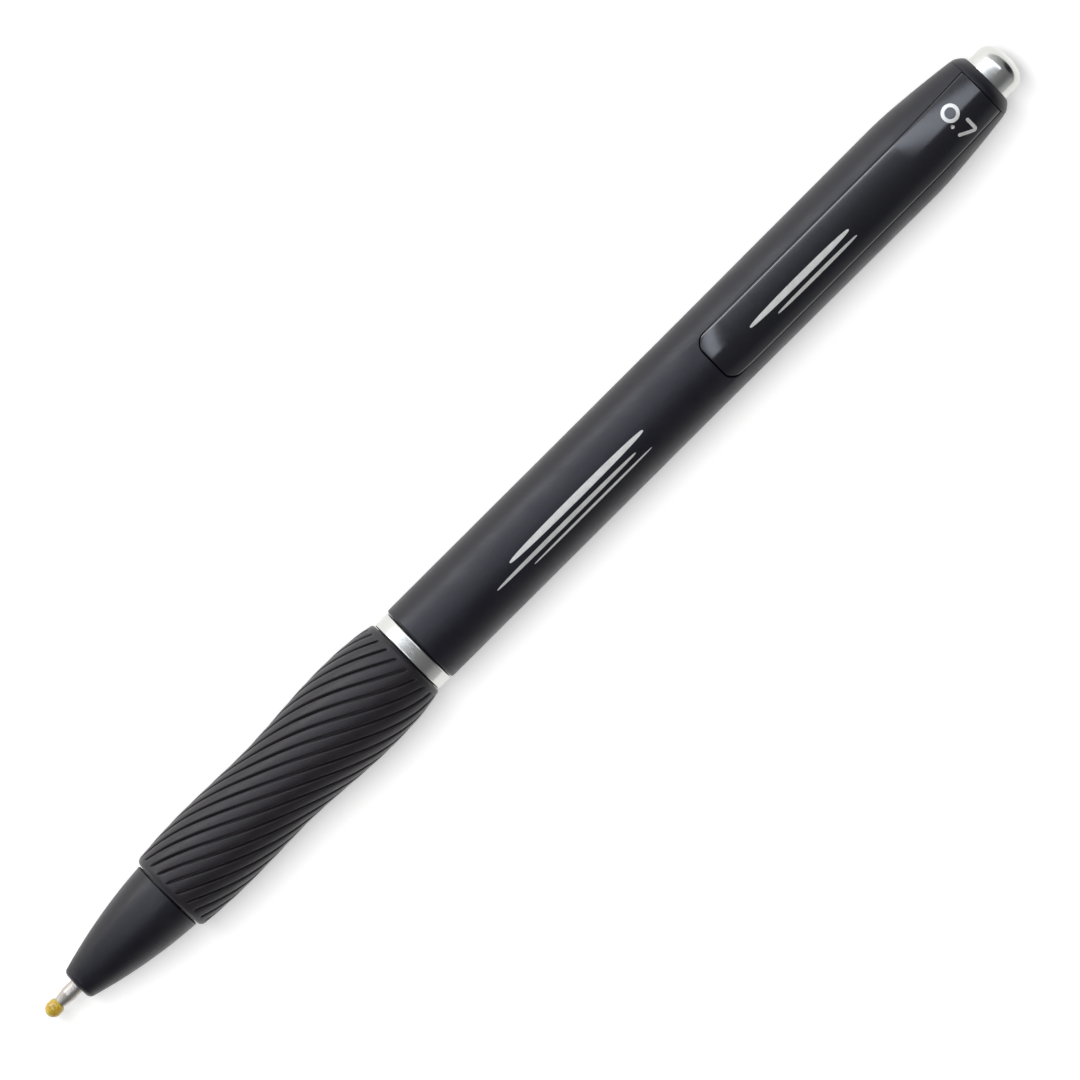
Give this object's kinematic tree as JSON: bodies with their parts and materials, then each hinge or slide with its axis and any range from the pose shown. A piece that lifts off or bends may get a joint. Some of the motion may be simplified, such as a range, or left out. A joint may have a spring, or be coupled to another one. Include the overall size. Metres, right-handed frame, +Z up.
{
  "type": "gel pen",
  "caption": "Retractable gel pen: black barrel with a flush clip, grooved rubber grip, chrome ring and push button, sealed metal point.",
  "frame": {"origin": "under the middle of the pen's length, on the surface that the pen lies on", "axes": "+X along the pen to the push button, +Z up, with the clip on top; the pen's axis is 5.69 mm above the origin"},
  "size_m": [0.145, 0.0114, 0.0114],
  "materials": {
    "barrel_black": "matte, fine grain",
    "nose_black": "matte",
    "clip_black": "satin",
    "grip_rubber": "soft matte",
    "chrome_trim": "polished",
    "point_metal": "turned",
    "spring_steel": "drawn wire",
    "ball_metal": "polished",
    "seal_resin": "clear amber, glossy",
    "refill_clear": "translucent",
    "holder_plastic": "natural",
    "ink": "wet black",
    "follower": "clear grease",
    "cam_plastic": "natural"
  },
  "bodies": {
    "barrel": {"rear_barrel": "barrel_black", "cam_sleeve": "cam_plastic", "end_collar": "barrel_black"},
    "clip": {"clip": "clip_black"},
    "plunger": {"push_button": "chrome_trim", "plunger_cam": "cam_plastic"},
    "refill": {"ink_tube": "refill_clear", "ink_column": "ink", "follower_gel": "follower", "tail_plug": "holder_plastic", "tip_holder": "holder_plastic", "point_body": "point_metal"},
    "rotor": {"rotor_cam": "cam_plastic"},
    "ball": {"writing_ball": "ball_metal"},
    "seal": {"tip_seal": "seal_resin"},
    "ring": {"trim_ring": "chrome_trim"},
    "front": {"front_section": "nose_black", "grip_sleeve": "grip_rubber", "return_spring": "spring_steel"}
  },
  "joints": [
    {"name": "clip_flex", "type": "hinge", "parent": "barrel", "child": "clip", "pos_m": [0.0676, 0, 0.00978], "axis": [0, 1, 0], "range_deg": [0, 4.5], "stiffness_Nm_per_rad": 2.5},
    {"name": "button_press", "type": "slide", "parent": "barrel", "child": "plunger", "axis": [1, 0, 0], "range_m": [0, 0.006]},
    {"name": "refill_slide", "type": "slide", "parent": "barrel", "child": "refill", "axis": [1, 0, 0], "range_m": [0, 0.006], "deforming": ["return_spring"]},
    {"name": "rotor_turn", "type": "hinge", "parent": "refill", "child": "rotor", "pos_m": [0.0437, 0, 0.00569], "axis": [1, 0, 0], "range_deg": [0, 60]},
    {"name": "ball_roll", "type": "hinge", "parent": "refill", "child": "ball", "pos_m": [-0.07155, 0, 0.00569], "axis": [0, 1, 0], "continuous": true},
    {"name": "seal_pull", "type": "slide", "parent": "refill", "child": "seal", "axis": [-1, 0, 0], "range_m": [0, 0.015]},
    {"name": "ring_slide", "type": "slide", "parent": "barrel", "child": "ring", "axis": [-1, 0, 0], "range_m": [0, 0.0048]},
    {"name": "section_unscrew", "type": "hinge", "parent": "ring", "child": "front", "pos_m": [-0.0174, 0, 0.00569], "axis": [-1, 0, 0], "range_deg": [0, 1080], "deforming": ["return_spring"]}
  ],
  "couplings": [
    {"joint": "refill_slide", "follows": "button_press", "ratio": 1},
    {"joint": "rotor_turn", "follows": "button_press", "rad_per_m": 174.53},
    {"joint": "section_unscrew", "follows": "ring_slide", "rad_per_m": 3927}
  ]
}
